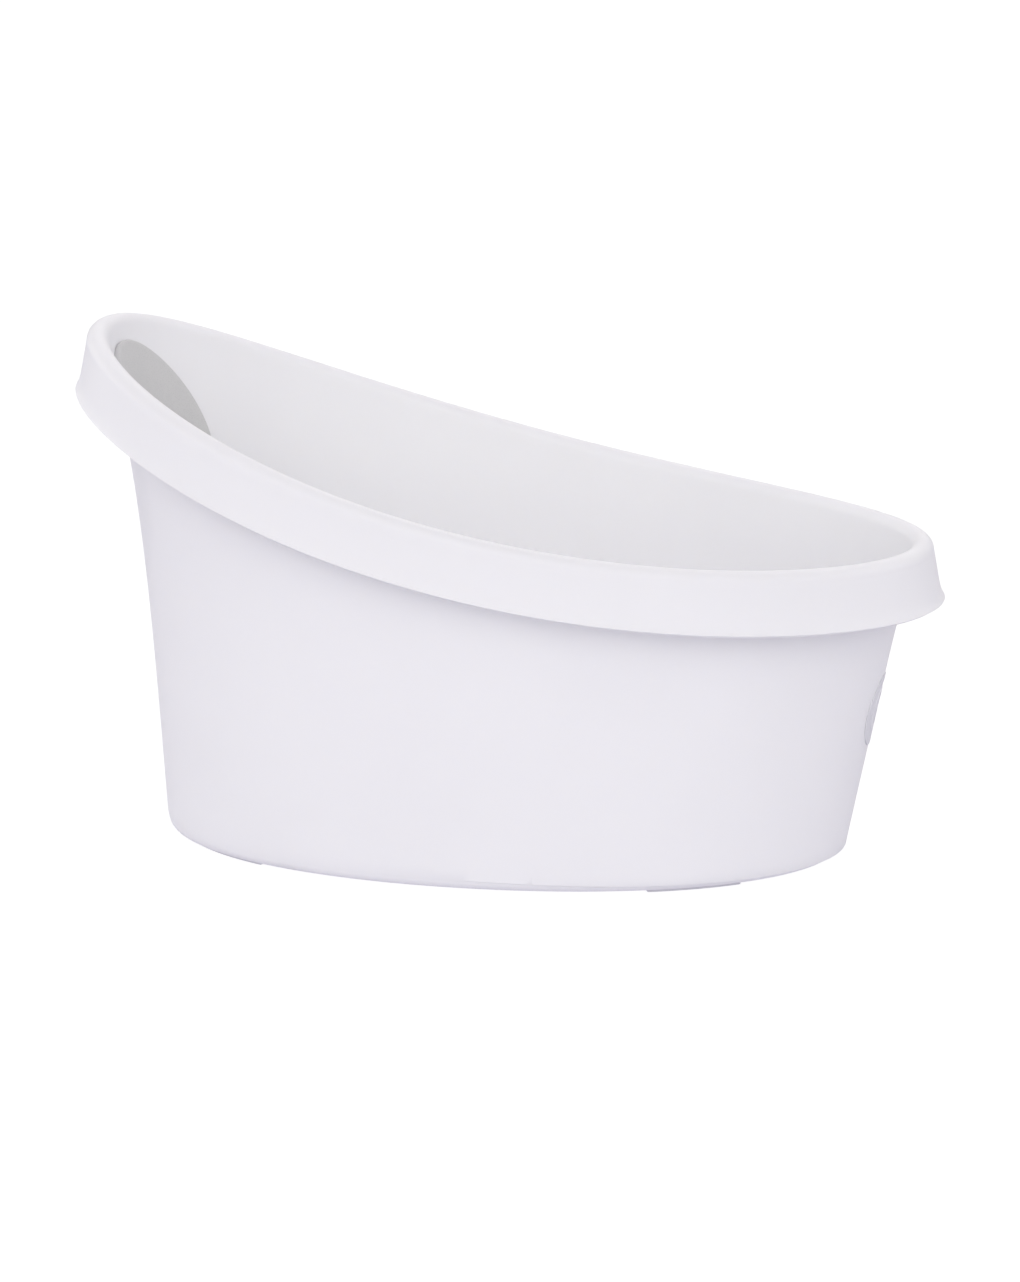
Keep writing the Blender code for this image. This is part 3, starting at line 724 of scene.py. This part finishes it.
half_section = plug_profile()
plug_mesh = bpy.data.meshes.new("silicone_stopper")
plug_mesh.from_pydata([(radius, 0, height) for radius, height in half_section],
                      [(i, i + 1) for i in range(len(half_section) - 1)], [])
plug = new_piece("silicone_stopper", plug_mesh)
turned = plug.modifiers.new("turned", "SCREW")
turned.steps = 96
turned.render_steps = 96
turned.use_merge_vertices = True
turned.merge_threshold = 0.00005
apply_modifiers(plug)
plug.data.transform(Matrix.Translation((DRAIN_X, 0, FLOOR_TOP)))
face_outwards(plug.data)
plug.data.materials.append(silicone_rubber())
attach(plug, "plug")
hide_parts("drain_plug")

# Feet -------------------------------------------------------------------------------------------
# Four strips of pale thermoplastic rubber, moulded in one piece with grip ribs across their
# underside and glued into the shallow pockets under the edge of the base.

RUBBER_RIB_DEPTH = 0.0004
RUBBER_EDGE = 0.0007


def thermoplastic_rubber():
    """Pale grey thermoplastic rubber: duller than the shell, greyed a little where it is handled."""
    material = bpy.data.materials.new("thermoplastic_rubber")
    material.use_nodes = True
    tree = material.node_tree
    shader = tree.nodes["Principled BSDF"]
    shader.inputs["IOR"].default_value = 1.50
    place = add_node(tree, "ShaderNodeTexCoord").outputs["Object"]
    # Greying from handling, in patches of some 11 mm
    wear = add_node(tree, "ShaderNodeTexNoise", {"Vector": place, "Scale": 90.0, "Detail": 4.0})
    tint = add_node(tree, "ShaderNodeMix", {0: wear, 6: srgb("CFCFD4"), 7: srgb("DDDDE1")},
                    data_type="RGBA")
    tree.links.new(tint.outputs[2], shader.inputs["Base Color"])
    gloss = add_node(tree, "ShaderNodeMapRange", [wear, 0.3, 0.7, 0.62, 0.78])
    tree.links.new(gloss.outputs[0], shader.inputs["Roughness"])
    # Mould grain, 0.6 mm
    grain = add_node(tree, "ShaderNodeTexNoise", {"Vector": place, "Scale": 1700.0})
    bump = add_node(tree, "ShaderNodeBump", {"Height": grain, "Strength": 0.15,
                                             "Distance": 0.0002})
    tree.links.new(bump.outputs[0], shader.inputs["Normal"])
    return material


foot_rubber = thermoplastic_rubber()
for name, degrees in FOOT_ANGLES.items():
    foot = base_strip("rubber_" + name, degrees, FOOT_LENGTH, FOOT_WIDTH, FOOT_INSET, 0.0,
                      BASE_HEIGHT + FOOT_SUNK - FOOT_GAP, RUBBER_EDGE, RUBBER_RIB_DEPTH,
                      foot_rubber)
    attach(foot, "tub")
    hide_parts(name)

# Backrest pad -----------------------------------------------------------------------------------
# Oval of grey closed-cell foam, pressed to the curve of the back wall with a rounded edge and a
# slightly crowned face, and stuck on with a thin bed of adhesive.

PAD_GLUE = 0.0003
PAD_HEIGHT = 0.173
PAD_THICKNESS = 0.006
PAD_SHOULDER = 0.0034        # thickness where the rounded edge meets the crowned face
PAD_EDGE = 0.0018            # radius of the edge of the face, and below it that of the back
PAD_BACK_EDGE = 0.0004
pad_low, pad_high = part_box("backrest_pad")
PAD_HALF_WIDTH = (pad_high.y - pad_low.y) / 2
PAD_HALF_HEIGHT = PAD_HEIGHT / 2
PAD_MIDDLE = pad_high.z - PAD_HALF_HEIGHT


def closed_cell_foam():
    """Grey cross-linked foam with a pressed skin: dull, with fine closed pores and cloudy tone."""
    material = bpy.data.materials.new("closed_cell_foam")
    material.use_nodes = True
    tree = material.node_tree
    shader = tree.nodes["Principled BSDF"]
    shader.inputs["IOR"].default_value = 1.45
    shader.inputs["Specular IOR Level"].default_value = 0.35
    place = add_node(tree, "ShaderNodeTexCoord").outputs["Object"]
    # Cloudy tone of the pressed skin, in patches of some 17 mm
    cloud = add_node(tree, "ShaderNodeTexNoise", {"Vector": place, "Scale": 60.0, "Detail": 3.0})
    tint = add_node(tree, "ShaderNodeMix", {0: cloud, 6: srgb("D1D1D1"), 7: srgb("D7D7D6")},
                    data_type="RGBA")
    # Pores, 1.1 mm apart, drawn coarser than the real 0.4 mm so that they can show
    pores = add_node(tree, "ShaderNodeTexVoronoi", {"Vector": place, "Scale": 900.0})
    depth = add_node(tree, "ShaderNodeMapRange", [pores, 0.0, 0.45, 0.0, 1.0],
                     interpolation_type="SMOOTHSTEP")
    # Painted shade: each pore is darkened towards its middle, down to C7C7C7
    pore_painted_shade = add_node(tree, "ShaderNodeMix", {0: depth, 6: srgb("C7C7C7"), 7: tint.outputs[2]},
                      data_type="RGBA")
    tree.links.new(pore_painted_shade.outputs[2], shader.inputs["Base Color"])
    gloss = add_node(tree, "ShaderNodeMapRange", [cloud, 0.3, 0.7, 0.80, 0.92])
    tree.links.new(gloss.outputs[0], shader.inputs["Roughness"])
    bump = add_node(tree, "ShaderNodeBump", {"Height": depth, "Strength": 0.35,
                                             "Distance": 0.0002})
    tree.links.new(bump.outputs[0], shader.inputs["Normal"])
    return material


def pad_profile():
    """Half section of the pad, from the middle of its back to the middle of its face."""
    points = [(PAD_HALF_WIDTH * (1 - i / 16), PAD_GLUE) for i in range(15)]
    points.append((PAD_BACK_EDGE * 2, PAD_GLUE))
    for i in range(5):
        turn = math.pi / 2 * i / 4
        points.append((PAD_BACK_EDGE * (1 - math.sin(turn)),
                       PAD_GLUE + PAD_BACK_EDGE * (1 - math.cos(turn))))
    shoulder = PAD_GLUE + PAD_SHOULDER
    for i in range(9):
        turn = math.pi / 2 * i / 8
        points.append((PAD_EDGE * (1 - math.cos(turn)),
                       shoulder - PAD_EDGE * (1 - math.sin(turn))))
    for i in range(1, 49):
        share = i / 48
        crown = (PAD_THICKNESS - PAD_SHOULDER) * (1 - (1 - share) ** 2)
        points.append((PAD_EDGE + (PAD_HALF_WIDTH - PAD_EDGE) * share, shoulder + crown))
    return points


pad = wall_disc("foam_backrest_pad", -1, PAD_HALF_WIDTH, PAD_HALF_HEIGHT, PAD_MIDDLE,
                pad_profile(), sides=224)
pad.data.materials.append(closed_cell_foam())
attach(pad, "tub")
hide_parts("backrest_pad")

# Badge ------------------------------------------------------------------------------------------
# Thin disc of grey ABS with a raised border, ring and boss, bent to the curve of the toe wall and
# glued into its recess. It carries no name or sign.

BADGE_THICKNESS = 0.0014
BADGE_EDGE = 0.0004
BADGE_FIELD = 0.00035        # how far the field lies below the border, the ring and the boss
# Raised boss, ring and border, each from one radius to another
RAISED_BANDS = ((0.0, 0.0020), (0.0110, 0.0145), (0.0200, BADGE_RADIUS))


def moulded_abs():
    """Grey ABS, moulded: satin, with a paler, glossier top on the raised ring, where it is rubbed
    smooth.
    """
    material = bpy.data.materials.new("moulded_abs")
    material.use_nodes = True
    tree = material.node_tree
    shader = tree.nodes["Principled BSDF"]
    shader.inputs["IOR"].default_value = 1.53
    place = add_node(tree, "ShaderNodeTexCoord").outputs["Object"]
    local = add_node(tree, "ShaderNodeVectorMath", [place, (0, 0, BADGE_MIDDLE)],
                     operation="SUBTRACT")
    flat = add_node(tree, "ShaderNodeVectorMath", [local, (0, 1, 1)], operation="MULTIPLY")
    radius = add_node(tree, "ShaderNodeVectorMath", [flat], operation="LENGTH").outputs["Value"]
    start, end = RAISED_BANDS[1]
    off_ring = add_node(tree, "ShaderNodeMath", [radius, (start + end) / 2],
                        operation="SUBTRACT")
    off_ring = add_node(tree, "ShaderNodeMath", [off_ring], operation="ABSOLUTE")
    on_ring = add_node(tree, "ShaderNodeMapRange",
                       [off_ring, (end - start) / 2, (end - start) / 2 - BADGE_EDGE, 0.0, 1.0])
    # Flow marks, some 8 mm across
    mottle = add_node(tree, "ShaderNodeTexNoise", {"Vector": place, "Scale": 120.0})
    tint = add_node(tree, "ShaderNodeMix", {0: mottle, 6: srgb("E0E0E5"), 7: srgb("E5E5E9")},
                    data_type="RGBA")
    tint = add_node(tree, "ShaderNodeMix", {0: on_ring, 6: tint.outputs[2], 7: srgb("F0F0F3")},
                    data_type="RGBA")
    tree.links.new(tint.outputs[2], shader.inputs["Base Color"])
    gloss = add_node(tree, "ShaderNodeMapRange", [on_ring, 0.0, 1.0, 0.46, 0.34])
    tree.links.new(gloss.outputs[0], shader.inputs["Roughness"])
    # Mould grain, 0.5 mm
    grain = add_node(tree, "ShaderNodeTexNoise", {"Vector": place, "Scale": 2000.0})
    bump = add_node(tree, "ShaderNodeBump", {"Height": grain, "Strength": 0.10,
                                             "Distance": 0.0002})
    tree.links.new(bump.outputs[0], shader.inputs["Normal"])
    return material


def badge_profile():
    """Half section of the badge, from the middle of its face to the middle of its back."""
    back = BADGE_SUNK - BADGE_GAP - WALL
    face = back - BADGE_THICKNESS
    points = []
    for start, end in RAISED_BANDS:
        if start > 0:
            points += [(start - BADGE_EDGE, face + BADGE_FIELD), (start, face)]
        else:
            points.append((0.0, face))
        if end < BADGE_RADIUS:
            points += [((start + end) / 2, face), (end, face),
                       (end + BADGE_EDGE, face + BADGE_FIELD)]
    points = [(BADGE_RADIUS - radius, height) for radius, height in points]
    for i in range(6):
        turn = math.pi / 2 * i / 5
        points.append((BADGE_EDGE * (1 - math.sin(turn)), face + BADGE_EDGE * (1 - math.cos(turn))))
    points += [(0.0, back)] + [(BADGE_RADIUS * i / 8, back) for i in range(1, 9)]
    return points


badge = wall_disc("abs_badge", 1, BADGE_RADIUS, BADGE_RADIUS, BADGE_MIDDLE, badge_profile())
badge.data.materials.append(moulded_abs())
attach(badge, "tub")
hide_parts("badge")

# Camera -----------------------------------------------------------------------------------------
# A long lens at the near side, somewhat above the rim and turned a little towards the toe end, with
# no shift and no depth of field.

FOCAL_MM = 126.4
CAMERA_TURN = math.radians(11.505)
CAMERA_RISE = math.radians(13.23)
AIM = Vector((0.0017, -0.0035, 0.1360))
CAMERA_DISTANCE = 3.0

lens = bpy.data.cameras.new("camera")
lens.sensor_fit = "VERTICAL"
lens.sensor_height = 36.0
lens.lens = FOCAL_MM
camera = bpy.data.objects.new("camera", lens)
bpy.context.scene.collection.objects.link(camera)
back = Vector((math.sin(CAMERA_TURN) * math.cos(CAMERA_RISE),
               -math.cos(CAMERA_TURN) * math.cos(CAMERA_RISE), math.sin(CAMERA_RISE)))
camera.location = AIM + back * CAMERA_DISTANCE
camera.rotation_euler = (math.pi / 2 - CAMERA_RISE, 0, CAMERA_TURN)
bpy.context.scene.camera = camera

# Studio -----------------------------------------------------------------------------------------
# A plain white floor that gives off a low light, a faint glow from the ceiling, and seven broad
# softboxes: two low ones and a high one in front, one at each end, and a low and a high one behind.

bpy.context.scene.view_settings.view_transform = "Standard"

FLOOR_HALF = 30              # so wide that its edge never shows
floor_mesh = bpy.data.meshes.new("studio_floor")
floor_mesh.from_pydata([(-FLOOR_HALF, -FLOOR_HALF, 0), (FLOOR_HALF, -FLOOR_HALF, 0),
                        (FLOOR_HALF, FLOOR_HALF, 0), (-FLOOR_HALF, FLOOR_HALF, 0)],
                       [], [(0, 1, 2, 3)])
floor = new_piece("studio_floor", floor_mesh)
floor_paint = bpy.data.materials.new("studio_white")
floor_paint.use_nodes = True
floor_tree = floor_paint.node_tree
# The floor is overexposed for the camera only, so that it doesn't light the tub too much
paints = []
for glow_color, strength in (((0.48, 0.46, 0.54, 1), 1.0), ((1, 1, 1, 1), 0.90)):
    paints.append(add_node(floor_tree, "ShaderNodeBsdfPrincipled", {
        "Base Color": (0.20, 0.20, 0.20, 1), "Roughness": 1.0, "Specular IOR Level": 0.0,
        "Emission Color": glow_color, "Emission Strength": strength}))
seen = add_node(floor_tree, "ShaderNodeLightPath").outputs["Is Camera Ray"]
both = add_node(floor_tree, "ShaderNodeMixShader", [seen, *paints])
floor_tree.links.new(both.outputs[0], floor_tree.nodes["Material Output"].inputs["Surface"])
floor_mesh.materials.append(floor_paint)

world = bpy.data.worlds.new("studio")
world.use_nodes = True
surround = world.node_tree
ray = add_node(surround, "ShaderNodeTexCoord").outputs["Generated"]
ray_up = add_node(surround, "ShaderNodeSeparateXYZ", [ray]).outputs["Z"]
glow = add_node(surround, "ShaderNodeMix", {0: ray_up, 6: (0, 0, 0, 1),
                                            7: (0.08, 0.05, 0.13, 1)}, data_type="RGBA")
seen = add_node(surround, "ShaderNodeLightPath").outputs["Is Camera Ray"]
backdrop = add_node(surround, "ShaderNodeMix", {0: seen, 6: glow.outputs[2], 7: (1, 1, 1, 1)},
                    data_type="RGBA")
surround.links.new(backdrop.outputs[2], surround.nodes["Background"].inputs["Color"])
bpy.context.scene.world = world

# Degrees from the front towards the toe end, degrees above the floor, and strength
SOFTBOXES = {"front_left": (-20, 15, 0.79), "front_right": (20, 15, 0.98),
             "front_top": (0, 45, 0.82), "head_side": (-110, 20, 1.22),
             "toe_side": (110, 20, 1.10), "back": (180, 10, 0.37), "back_top": (180, 45, 1.02)}
for name, (azimuth, elevation, strength) in SOFTBOXES.items():
    light = bpy.data.lights.new(name + "_softbox", "SUN")
    light.energy = strength
    light.angle = math.radians(60)
    light.color = (1, 1, 0.965)
    softbox = bpy.data.objects.new(light.name, light)
    bpy.context.scene.collection.objects.link(softbox)
    softbox.rotation_euler = (math.radians(90 - elevation), 0, math.radians(azimuth))
